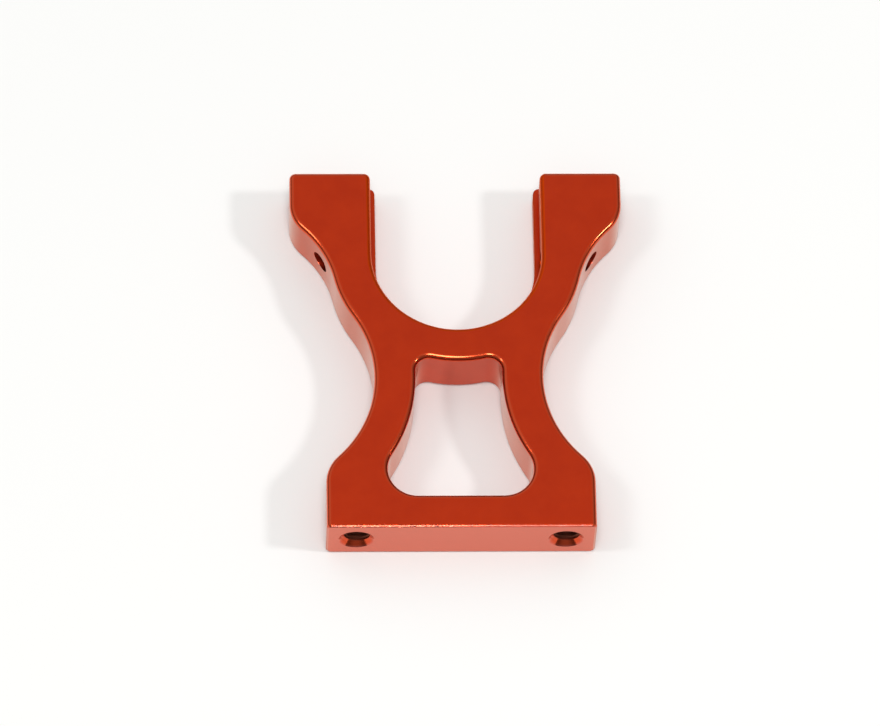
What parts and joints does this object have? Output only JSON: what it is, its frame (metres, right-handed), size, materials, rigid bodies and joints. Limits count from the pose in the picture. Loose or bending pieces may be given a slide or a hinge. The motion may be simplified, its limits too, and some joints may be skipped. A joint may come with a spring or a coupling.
{
  "type": "slipper clutch mount",
  "caption": "Flat machined aluminium bracket with a stepped open fork that seats a clutch bearing, a narrow waist with a window, and a foot with tapped holes.",
  "frame": {"origin": "centre of the foot's end face, midway between its two tapped holes", "axes": "+X along the foot, +Y from the foot to the fork's tips, +Z out of the face that the bearing goes in from"},
  "size_m": [0.0338, 0.04, 0.006],
  "materials": {
    "anodised_aluminium": "satin orange-red anodising"
  },
  "bodies": {
    "root": {"clutch_mount": "anodised_aluminium"}
  },
  "joints": []
}
